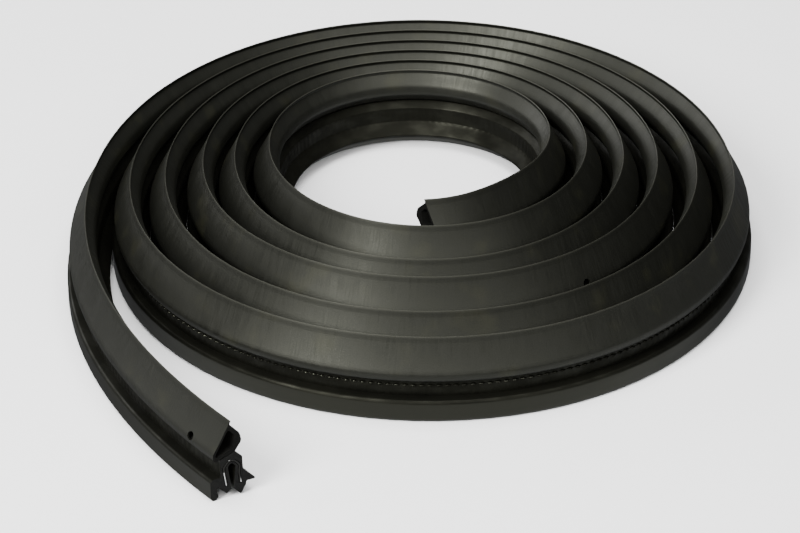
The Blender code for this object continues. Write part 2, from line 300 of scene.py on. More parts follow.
    def seat_corner(self, u: float, radius: float) -> Corner:
        """Corner on the seat line, just under the bulb, at a given u.

        Args:
            u: Place of the corner across the strip.
            radius: Its rounding.

        Returns:
            The corner, the clearance below the straight line between the ends of the seat.
        """
        share = (u + self.seat_out_reach) / (self.seat_in_reach + self.seat_out_reach)
        z = self.seat_out_z + share * (self.seat_in_z - self.seat_out_z) - self.clearance
        return Corner(u, z, radius)

    def cavity_side(self, z: float, side: Side) -> float:
        """The u of one side of the cavity at height z, on the line from its mouth to its shoulder.

        Args:
            z: Height above the floor.
            side: Side of the strip.

        Returns:
            The u of that side.
        """
        mouth = self.mouth_centre + side.value * self.mouth_width / 2
        shoulder = self.cavity_centre + side.value * self.cavity_width / 2
        return mouth + (shoulder - mouth) * (z - self.mouth_z) / (self.neck_low_z - self.mouth_z)

    def channel_corners(self) -> dict[str, Corner]:
        """Corners of the rubber channel by name, clockwise from the outer end of its roof.

        Returns:
            The corners, in their order round the outline.
        """
        flap_in = self.flap_reach - self.flap_thickness
        flap_sole_u = -flap_in + self.flap_foot_width
        flap_edge_u = -flap_in - self.flap_foot_width
        flap_edge_z = self.flap_shoulder_z - self.flap_foot_rise
        corner_z = self.seat_in_z - self.channel_corner_drop
        lip_top_z = self.lip_tip_z + self.lip_tip_thickness
        leg_out = self.mouth_centre - self.mouth_width / 2
        leg_in = self.mouth_centre + self.mouth_width / 2
        out_leg_u = leg_out - self.out_leg_set_back
        neck, fin = self.neck_low_z, self.foot_zone_z
        return {
            "roof_out": self.seat_corner(-self.channel_out_reach, self.roof_out_radius),
            "roof_in": self.seat_corner(self.seat_in_reach - self.clearance, self.roof_in_radius),
            "wall_top": Corner(self.channel_in_reach - self.clearance, corner_z, self.wall_top_radius),
            "lip_root": Corner(self.channel_in_reach, self.lip_root_top_z, self.lip_root_radius, cuts=3),
            "lip_top": Corner(self.lip_reach, lip_top_z, self.lip_top_radius),
            "lip_tip": Corner(self.lip_reach, self.lip_tip_z, self.lip_tip_radius, cuts=2),
            "lip_heel": Corner(self.lip_root_low_u, self.lip_root_low_z, self.lip_heel_radius),
            "in_leg_heel": Corner(self.in_leg_heel_u, self.in_leg_heel_z, self.in_leg_heel_radius),
            "in_leg_tip": Corner(self.in_leg_tip_u, self.in_leg_z, self.leg_tip_radius),
            "mouth_in": Corner(leg_in, self.mouth_z, self.mouth_radius),
            "fin_in": Corner(self.cavity_side(fin, Side.INNER), fin),
            "neck_in": Corner(self.cavity_side(neck, Side.INNER), neck, self.neck_radius),
            "cavity_roof": Corner(self.cavity_centre, self.cavity_roof_z, self.cavity_roof_radius),
            "neck_out": Corner(self.cavity_side(neck, Side.OUTER), neck, self.neck_radius),
            "fin_out": Corner(self.cavity_side(fin, Side.OUTER), fin),
            "mouth_out": Corner(leg_out, self.mouth_z, self.mouth_radius),
            "out_leg_tip": Corner(out_leg_u, self.out_leg_z, self.leg_tip_radius, cuts=2),
            "flap_valley": Corner(-flap_in + self.clearance, self.flap_valley_z, self.flap_valley_radius),
            "flap_foot_in": Corner(flap_sole_u, self.flap_foot_rise, self.flap_foot_radius),
            "flap_sole_in": Corner(-flap_in, 0.0, self.flap_foot_radius),
            "flap_sole_out": Corner(flap_edge_u, 0.0, self.flap_foot_radius),
            "flap_foot_out": Corner(-self.flap_reach, self.flap_foot_rise, self.flap_foot_radius, cuts=3),
            "flap_shoulder_out": Corner(-self.flap_reach, flap_edge_z, self.flap_shoulder_radius),
            "flap_shoulder": Corner(flap_edge_u, self.flap_shoulder_z, self.flap_shoulder_radius, cuts=2),
            "flap_root": Corner(-self.channel_out_reach, self.flap_root_z),
        }

    def channel_outline(self) -> np.ndarray:
        """Rounded outline of the rubber channel, with lower roots of flap and lip.

        Returns:
            Points of the outline, clockwise, as points by u and z.
        """
        named = self.channel_corners()
        named["lip_root"] = replace(named["lip_root"], z=self.lip_root_top_z - self.lip_root_drop)
        named["flap_root"] = replace(named["flap_root"], z=self.flap_root_z - self.flap_root_drop)
        return self.rounding.outline(list(named.values()))

    def carrier_leg(self, side: Side, foot_cover: float) -> list[Corner]:
        """Corners of one leg of the steel, from its foot up to the cavity's shoulder.

        Args:
            side: Side of the strip.
            foot_cover: Rubber between the cavity and the middle of the steel at its foot.

        Returns:
            The corners, each its cover away from the cavity's side.
        """
        covers = (
            (self.carrier_leg_z, foot_cover, 0.0),
            (self.foot_zone_z, self.carrier_cover, 0.0),
            (self.neck_low_z, self.carrier_cover, self.carrier_shoulder_radius),
        )
        return [
            Corner(self.cavity_side(z, side) + side.value * cover, z, radius) for z, cover, radius in covers
        ]

    def carrier_path(self) -> np.ndarray:
        """Middle line of the steel, from its outer leg over the cavity to its inner leg, as u and z.

        Returns:
            Rounded points of the line.
        """
        top_z = self.cavity_roof_z + self.carrier_roof_cover
        top = Corner(self.cavity_centre, top_z, self.carrier_roof_radius)
        outer = self.carrier_leg(Side.OUTER, self.carrier_out_foot_cover)
        inner = self.carrier_leg(Side.INNER, self.carrier_in_foot_cover)
        return self.coarse_rounding.outline(outer + [top] + inner[::-1])

    def strip_outline(self, margin: float) -> np.ndarray:
        """Closed outline of the steel's path with its thickness.

        A point is moved both ways along its mitre, the sum of the two edges' normals over one plus their
        dot product, by half the thickness.

        Args:
            margin: Extra room on every side, nothing for the steel itself.

        Returns:
            Points of the outline, clockwise, as points by u and z.
        """
        path = self.carrier_path()
        edges = np.diff(path, axis=0)
        ways = edges / np.linalg.norm(edges, axis=1, keepdims=True)
        path[0] -= ways[0] * margin
        path[-1] += ways[-1] * margin
        normals = np.stack([ways[:, 1], -ways[:, 0]], axis=1)
        before = np.concatenate([normals[:1], normals])
        after = np.concatenate([normals, normals[-1:]])
        mitres = (before + after) / (1 + (before * after).sum(axis=1, keepdims=True))
        aside = mitres * (self.steel_thickness / 2 + margin)
        return np.concatenate([path - aside, (path + aside)[::-1]])

    def zone_heights(self) -> tuple[float, ...]:
        """Heights between which the pressing-in of the section changes: foot, neck twice and bulb."""
        return self.foot_zone_z, self.neck_low_z, self.neck_high_z, self.seat_out_z

    def zone_widths(self) -> tuple[float, ...]:
        """Free width of the section at each of the zone heights."""
        neck = self.channel_out_reach + self.channel_in_reach
        return self.flap_reach + self.lip_reach, neck, neck, self.bulb_out_reach + self.bulb_in_reach


@dataclass(frozen=True)
class Push:
    """Place where the coil bulges out or lies flatter, with its distance and its spread in turns."""

    turn: float
    distance: float
    spread: float


@dataclass(frozen=True)
class Stations:
    """Places along the strip.

    Attributes:
        points: Ridge points on the floor plan.
        ways: Unit directions along the strip.
        run: Length along the strip from the inner end.
        room: Distance to the inner and the outer neighbour turn.
        near: From 0, no neighbour, to 1, a neighbour at that distance, for the same two sides.
    """

    points: np.ndarray
    ways: np.ndarray
    run: np.ndarray
    room: np.ndarray
    near: np.ndarray

    def at(self, run: np.ndarray) -> "Stations":
        """Stations at other lengths along the strip, read in a straight line between these.

        Args:
            run: Lengths along the strip from the inner end.

        Returns:
            The stations there, with directions of length one.
        """

        def read(rows: np.ndarray) -> np.ndarray:
            """One table read at the new lengths, column by column."""
            return np.stack([np.interp(run, self.run, column) for column in rows.T], axis=1)

        ways = read(self.ways)
        ways /= np.linalg.norm(ways, axis=1, keepdims=True)
        return Stations(read(self.points), ways, run, read(self.room), read(self.near))


def eased(share: np.ndarray) -> np.ndarray:
    """Smooth step: 3 s squared less 2 s cubed, with s held between 0 and 1."""
    held = np.clip(share, 0.0, 1.0)
    return held * held * (3 - 2 * held)


@dataclass(frozen=True)
class CoilRoute:
    """Route of the strip: a spiral counted in turns from the front of the bore, and a free tail."""

    start: float = 0.02
    end: float = 5.70
    start_radius: float = 54.1 * MM
    pitch: float = 14.8 * MM
    off_centre: float = -11.9 * MM
    drift: float = 5.6 * MM
    side_shift: float = 3.1 * MM
    side_drift: float = 0.5 * MM
    oval: float = 1.7 * MM
    oval_growth: float = 0.5 * MM
    pushes: tuple[Push, ...] = (
        Push(0.16, -5.6 * MM, 0.11),
        Push(2.00, 6.1 * MM, 0.17),
        Push(3.00, -1.0 * MM, 0.17),
        Push(4.00, 4.5 * MM, 0.17),
        Push(5.00, 2.8 * MM, 0.17),
    )
    tail_start_radius: float = 178.0 * MM
    tail_end_radius: float = 372.0 * MM
    tail_length: float = 267.0 * MM
    tail_steps: int = 80
    plain_per_turn: int = 20
    plain_in_tail: int = 8
    small_turn: float = 0.0001

    def radius(self, turn: np.ndarray) -> np.ndarray:
        """Distance of the ridge from the middle.

        It is a start radius plus the pitch times the turn, plus growing shares of the cosine and sine of
        the angle and of the cosine of twice the angle, plus a bell curve for each push.

        Args:
            turn: Places on the coil in turns.

        Returns:
            The distances.
        """
        angle = 2 * pi * turn
        radius = self.start_radius + self.pitch * turn
        radius = radius + (self.off_centre + self.drift * turn) * np.cos(angle)
        radius = radius + (self.side_shift + self.side_drift * turn) * np.sin(angle)
        radius = radius + (self.oval + self.oval_growth * turn) * np.cos(2 * angle)
        for push in self.pushes:
            radius = radius + push.distance * np.exp(-(((turn - push.turn) / push.spread) ** 2))
        return radius

    def point(self, turn: np.ndarray) -> np.ndarray:
        """Ridge point on the plan: the radius times the sine and minus the cosine of the angle."""
        angle = 2 * pi * turn
        return self.radius(turn)[:, None] * np.stack([np.sin(angle), -np.cos(angle)], axis=1)

    def tail(self, start: np.ndarray, along: np.ndarray, kept: int) -> tuple[np.ndarray, np.ndarray]:
        """Tail that eases from one bend radius to another.

        The heading is its first value plus the run over the start radius, plus half the change of
        curvature times the run squared over the length. The points are the summed steps.

        Args:
            start: Last point of the coil.
            along: Direction there.
            kept: How many stations are kept.

        Returns:
            Points and unit directions of the kept stations.
        """
        run = np.linspace(0.0, self.tail_length, self.tail_steps + 1)
        change = 1 / self.tail_end_radius - 1 / self.tail_start_radius
        heading = np.arctan2(along[1], along[0]) + run / self.tail_start_radius
        heading = heading + change * run**2 / (2 * self.tail_length)
        ways = np.stack([np.cos(heading), np.sin(heading)], axis=1)
        steps = (ways[1:] + ways[:-1]) / 2 * (self.tail_length / self.tail_steps)
        points = start + np.cumsum(steps, axis=0)
        every = self.tail_steps // kept
        return points[every - 1 :: every], ways[every::every]

    def stations(self, per_turn: int, in_tail: int) -> Stations:
        """Stations along the whole strip.

        Args:
            per_turn: Stations in each turn of the coil.
            in_tail: Stations in the tail.

        Returns:
            The stations, from the inner end to the outer end.
        """
        turns = np.linspace(self.start, self.end, round((self.end - self.start) * per_turn) + 1)
        coil = self.point(turns)
        ahead = self.point(turns + self.small_turn) - self.point(turns - self.small_turn)
        ahead /= np.linalg.norm(ahead, axis=1, keepdims=True)
        tail, tail_ways = self.tail(coil[-1], ahead[-1], in_tail)
        points = np.concatenate([coil, tail])
        run = np.concatenate([[0.0], np.cumsum(np.linalg.norm(np.diff(points, axis=0), axis=1))])

        room_in = self.radius(turns) - self.radius(turns - 1)
        room_out = self.radius(turns + 1) - self.radius(turns)
        room = np.stack([room_in, room_out], axis=1)
        near_in = (turns > self.start + 1).astype(float)
        near_out = 1 - eased((turns - self.end + 1) * self.plain_per_turn)
        near = np.stack([near_in, near_out], axis=1)

        beyond = (run[len(turns) :] - run[len(turns) - 1]) * self.plain_in_tail / self.tail_length
        tail_near = np.stack([1 - eased(beyond), np.zeros(in_tail)], axis=1)
        tail_room = np.repeat(room[-1:], in_tail, axis=0)
        return Stations(
            points,
            np.concatenate([ahead, tail_ways]),
            run,
            np.concatenate([room, tail_room]),
            np.concatenate([near, tail_near]),
        )


@dataclass(frozen=True)
class Strip:
    """Carries outlines of the section along the route, where the solids have them."""

    section: SealSection = SealSection()
    route: CoilRoute = CoilRoute()
    turn_gap: float = 0.6 * MM
    inner_cut_slant: float = -0.75
    outer_cut_slant: float = 0.25
    inner_cut_ease: float = 16.0 * MM
    outer_cut_ease: float = 33.0 * MM

    def shares(self, z: np.ndarray, stations: Stations, side: int) -> np.ndarray:
        """Share of the free reach left on one side, for stations by points.

        Each zone's share is the room less the gap between turns, over the section's width there, at most
        1. Between the zone heights the shares are mixed in a straight line.

        Args:
            z: Heights of the points.
            stations: Places along the strip.
            side: 0 for the inner neighbour, 1 for the outer one.

        Returns:
            The shares.
        """
        widths = np.array(self.section.zone_widths())
        zones = np.minimum(1.0, (stations.room[:, side, None] - self.turn_gap) / widths)
        heights = self.section.zone_heights()
        weights = np.stack([np.interp(z, heights, row) for row in np.eye(len(heights))])
        return 1 - stations.near[:, side, None] * (1 - zones @ weights)

    def carried(self, outline: np.ndarray, stations: Stations) -> np.ndarray:
        """Outline carried along the stations.

        A point is the ridge's place plus u, narrowed by its share, along the inward direction. Near each
        cut it also moves along the strip by u times the cut's slant, fading out over the ease length.

        Args:
            outline: Points by u and z.
            stations: Places along the strip.

        Returns:
            Rings as stations by points by x, y and z.
        """
        u, z = outline.T
        inward = np.stack([-stations.ways[:, 1], stations.ways[:, 0]], axis=1)
        share = np.where(u > 0, self.shares(z, stations, 0), self.shares(z, stations, 1))
        from_end = stations.run[-1] - stations.run
        slant = self.inner_cut_slant * np.clip(1 - stations.run / self.inner_cut_ease, 0.0, 1.0)
        slant = slant + self.outer_cut_slant * np.clip(1 - from_end / self.outer_cut_ease, 0.0, 1.0)
        rings = np.empty((len(stations.run), len(outline), 3))
        rings[..., :2] = stations.points[:, None] + (u * share)[..., None] * inward[:, None]
        rings[..., :2] += (u * slant[:, None])[..., None] * stations.ways[:, None]
        rings[..., 2] = z
        return rings

    def offset(self) -> np.ndarray:
        """Shift on the plan that puts the middle of the plain solids' box at the origin.

        Returns:
            The shift in x and y.
        """
        plain = self.route.stations(self.route.plain_per_turn, self.route.plain_in_tail)
        named = self.section.bulb_corners() | self.section.channel_corners()
        rings = self.carried(np.array([(corner.u, corner.z) for corner in named.values()]), plain)[..., :2]
        return -(rings.min(axis=(0, 1)) + rings.max(axis=(0, 1))) / 2

    def placed(self, outline: np.ndarray, stations: Stations) -> np.ndarray:
        """Carried outline in the frame's own coordinates.

        Args:
            outline: Points by u and z.
            stations: Places along the strip.

        Returns:
            Rings as stations by points by x, y and z.
        """
        rings = self.carried(outline, stations)
        rings[..., :2] += self.offset()
        return rings


@dataclass(frozen=True)
class Loop:
    """One carried outline of a piece, and whether it is the wall of a hole."""

    rings: np.ndarray
    hole: bool = False

    def faces(self, first: int) -> np.ndarray:
        """Quads between each ring and the next, as vertex numbers from `first` on.

        Args:
            first: Number of the loop's first vertex in the mesh.

        Returns:
            Four vertex numbers for each quad.
        """
        stations, around = self.rings.shape[:2]
        ring = first + np.arange(stations - 1)[:, None] * around
        point = np.arange(around)[None, :]
        after = (point + 1) % around
        quads = np.stack([ring + point, ring + around + point, ring + around + after, ring + after], axis=-1)
        quads = quads.reshape(-1, 4)
        return quads[:, ::-1] if self.hole else quads

    def uv(self) -> np.ndarray:
        """Length along the strip and around the section, in metres, for each corner of each quad.

        Returns:
            Quads by corners by the two lengths.
        """
        stations, around = self.rings.shape[:2]
        middle = self.rings.mean(axis=1)
        run = np.concatenate([[0.0], np.cumsum(np.linalg.norm(np.diff(middle, axis=0), axis=1))])
        widest = self.rings[stations // 4]
        sides = np.linalg.norm(np.roll(widest, -1, axis=0) - widest, axis=1)
        girth = np.concatenate([[0.0], np.cumsum(sides)])
        low_run = np.repeat(run[:-1], around)
        high_run = np.repeat(run[1:], around)
        low_girth = np.tile(girth[:-1], stations - 1)
        high_girth = np.tile(girth[1:], stations - 1)
        pairs = (low_run, low_girth), (high_run, low_girth), (high_run, high_girth), (low_run, high_girth)
        corners = np.stack([np.stack(pair, axis=1) for pair in pairs], axis=1)
        return corners[:, ::-1] if self.hole else corners


@dataclass
class StripPiece:
    """Closed mesh made of carried outlines, with its two cut ends filled.

    The walls of a hole have the finish of the cut, the other sides that of the skin.
    """

    name: str
    loops: list[Loop]
    skin: bpy.types.Material
    cut: bpy.types.Material
    sharp_angle: float = radians(38)

    def build(self) -> bpy.types.Object:
        """Make the mesh and its object.

        Returns:
            The object, linked to the scene, with the skin in its first and the cut in its second slot.
        """
        firsts = np.cumsum([0] + [loop.rings.shape[0] * loop.rings.shape[1] for loop in self.loops])
        verts = np.concatenate([loop.rings.reshape(-1, 3) for loop in self.loops])
        quads = [loop.faces(first) for loop, first in zip(self.loops, firsts)]
        slots = [np.full(len(faces), int(loop.hole)) for loop, faces in zip(self.loops, quads)]
        mesh = bpy.data.meshes.new(self.name)
        mesh.from_pydata(verts, [], np.concatenate(quads))
        mesh.polygons.foreach_set("material_index", np.concatenate(slots))
        layer = mesh.uv_layers.new(name=UV_NAME)
        layer.data.foreach_set("uv", np.concatenate([loop.uv() for loop in self.loops]).ravel())
        mesh.materials.append(self.skin)
        mesh.materials.append(self.cut)
        self.fill_ends(mesh)
        mesh.shade_smooth()
        mesh.set_sharp_from_angle(angle=self.sharp_angle)
        piece = bpy.data.objects.new(self.name, mesh)
        bpy.context.scene.collection.objects.link(piece)
        return piece

    def fill_ends(self, mesh: bpy.types.Mesh) -> None:
        """Close both cut ends with triangles between the outline and its hole.

        Args:
            mesh: Mesh of the open strip, whose only open edges are at the two ends.
        """
        build = bmesh.new()
        build.from_mesh(mesh)
        rim = [edge for edge in build.edges if edge.is_boundary]
        middle = sum((edge.verts[0].co for edge in rim), Vector()) / len(rim)
        for group in self.split_rim(rim, middle):
            filled = bmesh.ops.triangle_fill(build, edges=group, use_beauty=True, use_dissolve=False)
            for face in (item for item in filled["geom"] if isinstance(item, bmesh.types.BMFace)):
                face.material_index = 1
        bmesh.ops.recalc_face_normals(build, faces=build.faces)
        build.to_mesh(mesh)
        build.free()

    @staticmethod
    def split_rim(rim: list[bmesh.types.BMEdge], middle: Vector) -> list[list[bmesh.types.BMEdge]]:
        """Open edges of the inner end and of the outer end, told apart by their distance from the axis.

        Args:
            rim: All open edges.
            middle: A point between the two ends.

        Returns:
            The edges of the inner end and those of the outer end.
        """
        reach = middle.xy.length
        near = [edge for edge in rim if edge.verts[0].co.xy.length < reach]
        far = [edge for edge in rim if edge.verts[0].co.xy.length >= reach]
        return [near, far]


class Graph:
    """Node tree with a short way to add and join nodes."""

    def __init__(self, tree: bpy.types.NodeTree) -> None:
        """Take the tree of a material or of the surroundings."""
        self.tree = tree

    def add(self, kind: str, sockets: dict, **settings: object) -> bpy.types.Node:
        """Add a node.

        Args:
            kind: Blender's type name of the node, without its common first part.
            sockets: Input names or numbers, each with a value or with an output socket to link.
            **settings: Properties of the node itself.

        Returns:
            The new node.
        """
        node = self.tree.nodes.new(f"ShaderNode{kind}")
        for key, value in settings.items():
            setattr(node, key, value)
        self.feed(node, sockets)
        return node

    def feed(self, node: bpy.types.Node, sockets: dict) -> None:
        """Set or link inputs of a node, by name or number.

        Args:
            node: Node to feed.
            sockets: Input names or numbers, each with a value or with an output socket to link.
        """
        for key, value in sockets.items():
            if isinstance(value, bpy.types.NodeSocket):
                self.tree.links.new(value, node.inputs[key])
            else:
                node.inputs[key].default_value = value

    def strip_noise(self, along: float, across: float, detail: float) -> bpy.types.NodeSocket:
        """Noise on the strip's own map, with a cell size along the strip and one around its section.

        Args:
            along: Cell size along the strip.
            across: Cell size around the section.
            detail: How many finer layers it has.

        Returns:
            Output from 0 to 1.
        """
        uv = self.add("UVMap", {}, uv_map=UV_NAME)
        scaled = self.add("Mapping", {"Vector": uv.outputs["UV"], "Scale": (1 / along, 1 / across, 1.0)})
        noise = self.add("TexNoise", {"Vector": scaled.outputs["Vector"], "Scale": 1.0, "Detail": detail})
        return noise.outputs["Fac"]

    def space_noise(self, cell: float, detail: float) -> bpy.types.NodeSocket:
        """Noise in space, with one cell size.

        Args:
            cell: Cell size.
            detail: How many finer layers it has.

        Returns:
            Output from 0 to 1.
        """
        place = self.add("TexCoord", {})
        sockets = {"Vector": place.outputs["Object"], "Scale": 1 / cell, "Detail": detail}
        return self.add("TexNoise", sockets).outputs["Fac"]

    def height(self) -> bpy.types.NodeSocket:
        """Height above the floor."""
        place = self.add("TexCoord", {})
        return self.add("SeparateXYZ", {"Vector": place.outputs["Object"]}).outputs["Z"]

    def spread(self, value: bpy.types.NodeSocket, span: tuple, result: tuple) -> bpy.types.NodeSocket:
        """Value moved from one span to another, held at its ends, with a smooth step between.

        Args:
            value: Output to move.
            span: Two values of it, the lower one first.
            result: What it becomes at those two.

        Returns:
            The moved output.
        """
        sockets = {"Value": value, "From Min": span[0], "From Max": span[1]}
        sockets |= {"To Min": result[0], "To Max": result[1]}
        return self.add("MapRange", sockets, interpolation_type="SMOOTHSTEP").outputs["Result"]

    def maths(self, operation: str, *values: object) -> bpy.types.NodeSocket:
        """Result of a Math node."""
        return self.add("Math", dict(enumerate(values)), operation=operation).outputs["Value"]

    def mixed(self, factor: object, dark: object, light: tuple) -> bpy.types.NodeSocket:
        """Colour between two, by a factor; the first of them may come from another node.

        Args:
            factor: Output from 0, the first colour, to 1, the second.
            dark: First colour, or the output that gives it.
            light: Second colour.

        Returns:
            The mixed colour's output.
        """
        node = self.add("Mix", {}, data_type="RGBA")
        first = dark if isinstance(dark, bpy.types.NodeSocket) else (*dark, 1.0)
        self.feed(node, {"Factor": factor, 6: first, 7: (*light, 1.0)})
        return node.outputs[2]

    def bump(self, height: bpy.types.NodeSocket, depth: float, under: object = None) -> bpy.types.NodeSocket:
        """Bump of a real depth, on top of another normal where one is given.

        Args:
            height: Output from 0 to 1.
            depth: Depth that 1 stands for.
            under: Normal below it, if there is one.

        Returns:
            The normal's output.
        """
        sockets = {"Height": height, "Distance": depth, "Strength": 1.0}
        if under is not None:
            sockets["Normal"] = under
        return self.add("Bump", sockets).outputs["Normal"]


class Paint(Graph):
    """Node tree of one new material round its Principled shader."""

    def __init__(self, name: str) -> None:
        """Start the material.

        Args:
            name: Name of the material.
        """
        self.material = bpy.data.materials.new(name)
        self.material.use_nodes = True
        super().__init__(self.material.node_tree)
        self.shader = self.tree.nodes["Principled BSDF"]

    def finish(self, **sockets: object) -> bpy.types.Material:
        """Feed the shader, with a socket's spaces written as underscores, and return the material."""
        self.feed(self.shader, {key.replace("_", " "): value for key, value in sockets.items()})
        return self.material


@dataclass(frozen=True)
class SpongeSkin:
    """Extruded skin of the sponge bulb: satin, with fine drag lines across the strip and olive stains.

    The ridge's top is painted lighter, a painted highlight along it.
    """

    name: str = "sponge_rubber_skin"
    dark: tuple[float, float, float] = (0.0042, 0.0043, 0.0034)
    light: tuple[float, float, float] = (0.0078, 0.0078, 0.0048)
    tint: tuple[float, float, float] = (0.985, 1.0, 0.84)
    gloss: float = 0.28
    line_pitch: float = 0.7 * MM
    line_length: float = 10.0 * MM
    line_depth: float = 0.025 * MM
    band_pitch: float = 7.0 * MM
    band_length: float = 40.0 * MM
    band_depth: float = 0.027 * MM
    grain: float = 0.45 * MM
    grain_depth: float = 0.020 * MM
    stain: float = 16.0 * MM
    stain_span: tuple[float, float] = (0.55, 0.75)
    # Painted highlight: a lighter colour over a band of height at the ridge's top.
    wear_and_highlight: tuple[float, float, float] = (0.014, 0.014, 0.011)
    highlight_zone: tuple[float, float] = (33.2 * MM, 33.9 * MM)
    line_share: float = 0.7
    rough_span: tuple[float, float] = (0.25, 0.75)
    rough: tuple[float, float] = (0.37, 0.53)

    def material(self) -> bpy.types.Material:
        """Build the material; the roughness follows a share of the lines and the rest of the bands.

        Returns:
            The new material.
        """
        graph = Paint(self.name)
        lines = graph.strip_noise(self.line_pitch, self.line_length, 1.0)
        bands = graph.strip_noise(self.band_pitch, self.band_length, 2.0)
        grain = graph.space_noise(self.grain, 2.0)
        stains = graph.spread(graph.space_noise(self.stain, 3.0), self.stain_span, (0.0, 1.0))
        normal = graph.bump(lines, self.line_depth)
        normal = graph.bump(bands, self.band_depth, normal)
        normal = graph.bump(grain, self.grain_depth, normal)
        lines_part = graph.maths("MULTIPLY", lines, self.line_share)
        bands_part = graph.maths("MULTIPLY", bands, 1 - self.line_share)
        mixture = graph.maths("ADD", lines_part, bands_part)
        rough = graph.spread(mixture, self.rough_span, self.rough)
        # Painted highlight: the colour turns lighter over the top of the ridge, standing in for light caught
        # by its edge.
        edge = graph.spread(graph.height(), self.highlight_zone, (0.0, 1.0))
        colour = graph.mixed(edge, graph.mixed(stains, self.dark, self.light), self.wear_and_highlight)
        tint = (*self.tint, 1.0)
        gloss = {"Specular_IOR_Level": self.gloss, "Specular_Tint": tint}
        return graph.finish(Base_Color=colour, Roughness=rough, Normal=normal, **gloss)


@dataclass(frozen=True)
class SpongeCut:
    """Cut sponge rubber: matt black, with the small cells that the knife opened."""

    name: str = "sponge_rubber_cut"
    dark: tuple[float, float, float] = (0.0012, 0.0012, 0.0010)
    light: tuple[float, float, float] = (0.0035, 0.0035, 0.0030)
    gloss: float = 0.05
    cell: float = 0.5 * MM
    cell_span: tuple[float, float] = (0.1, 0.6)
    depth: float = 0.12 * MM
    roughness: float = 0.75

    def material(self) -> bpy.types.Material:
        """Build the material.

        Returns:
            The new material.
        """
        graph = Paint(self.name)
        place = graph.add("TexCoord", {})
        sockets = {"Vector": place.outputs["Object"], "Scale": 1 / self.cell}
        cells = graph.add("TexVoronoi", sockets).outputs["Distance"]
        colour = graph.mixed(graph.spread(cells, self.cell_span, (0.0, 1.0)), self.dark, self.light)
        sockets = {"Normal": graph.bump(cells, self.depth), "Specular_IOR_Level": self.gloss}
        return graph.finish(Base_Color=colour, Roughness=self.roughness, **sockets)


@dataclass(frozen=True)
class DenseSkin:
    """Extruded skin of the dense channel: satin on the flap, dull and ribbed by the carrier on the walls."""

    name: str = "dense_rubber_skin"
    dark: tuple[float, float, float] = (0.0025, 0.0025, 0.0022)
    light: tuple[float, float, float] = (0.0049, 0.0049, 0.0034)
    tint: tuple[float, float, float] = (0.99, 1.0, 0.78)
    gloss: float = 0.28
    wall_gloss: tuple[float, float] = (0.05, 0.12)
    inner_side: tuple[float, float] = (24.5 * MM, 25.5 * MM)
    mottle: float = 11.0 * MM
    mottle_width: float = 5.0 * MM
    mottle_span: tuple[float, float] = (0.4, 0.7)
    rib_pitch: float = 3.2 * MM
    rib_depth: float = 0.09 * MM
    rib_zone: tuple[float, float, float, float] = (10.0 * MM, 11.0 * MM, 15.8 * MM, 17.2 * MM)
    dull_foot: tuple[float, float] = (7.6 * MM, 9.0 * MM)
    ripple: float = 2.2 * MM
    ripple_depth: float = 0.05 * MM
    grain: float = 0.35 * MM
    grain_depth: float = 0.010 * MM
    patch_length: float = 30.0 * MM
    patch_width: float = 8.0 * MM
    patch_span: tuple[float, float] = (0.3, 0.7)
    rough: tuple[float, float] = (0.30, 0.44)

    def material(self) -> bpy.types.Material:
        """Build the material; the rib height is the sine of the length along the strip over the pitch.

        The dull walls are the outer wall, between the foot and the top of the ribs, and the first part of
        the way round the section, which runs over the roof and down the inner wall to the lip's tip.

        Returns:
            The new material.
        """
        graph = Paint(self.name)
        uv = graph.add("UVMap", {}, uv_map=UV_NAME)
        place = graph.add("SeparateXYZ", {"Vector": uv.outputs["UV"]}).outputs
        wave = graph.maths("SINE", graph.maths("MULTIPLY", place["X"], 2 * pi / self.rib_pitch))
        height = graph.height()
        low, low_full, high_full, high = self.rib_zone
        rise = graph.spread(height, (low, low_full), (0.0, 1.0))
        fall = graph.spread(height, (high_full, high), (1.0, 0.0))
        zone = graph.maths("MULTIPLY", rise, fall)
        ribs = graph.maths("MULTIPLY", zone, graph.maths("MULTIPLY_ADD", wave, 0.5, 0.5))
        ripple = graph.maths("MULTIPLY", zone, graph.strip_noise(self.ripple, 3 * self.ripple, 2.0))
        grain = graph.space_noise(self.grain, 2.0)
        normal = graph.bump(ribs, self.rib_depth)
        normal = graph.bump(ripple, self.ripple_depth, normal)
        normal = graph.bump(grain, self.grain_depth, normal)
        patches = graph.strip_noise(self.patch_length, self.patch_width, 3.0)
        rough = graph.spread(patches, self.patch_span, self.rough)
        colour = graph.mixed(patches, self.dark, self.light)
        inner = graph.spread(place["Y"], self.inner_side, (1.0, 0.0))
        outer = graph.maths("MULTIPLY", graph.spread(height, self.dull_foot, (0.0, 1.0)), fall)
        dull = graph.maths("MAXIMUM", outer, inner)
        mottle = graph.strip_noise(self.mottle, self.mottle_width, 2.0)
        mottled = graph.spread(mottle, self.mottle_span, self.wall_gloss)
        share = graph.maths("SUBTRACT", mottled, self.gloss)
        level = graph.maths("MULTIPLY_ADD", dull, share, self.gloss)
        gloss = {"Specular_IOR_Level": level, "Specular_Tint": (*self.tint, 1.0)}
        return graph.finish(Base_Color=colour, Roughness=rough, Normal=normal, **gloss)


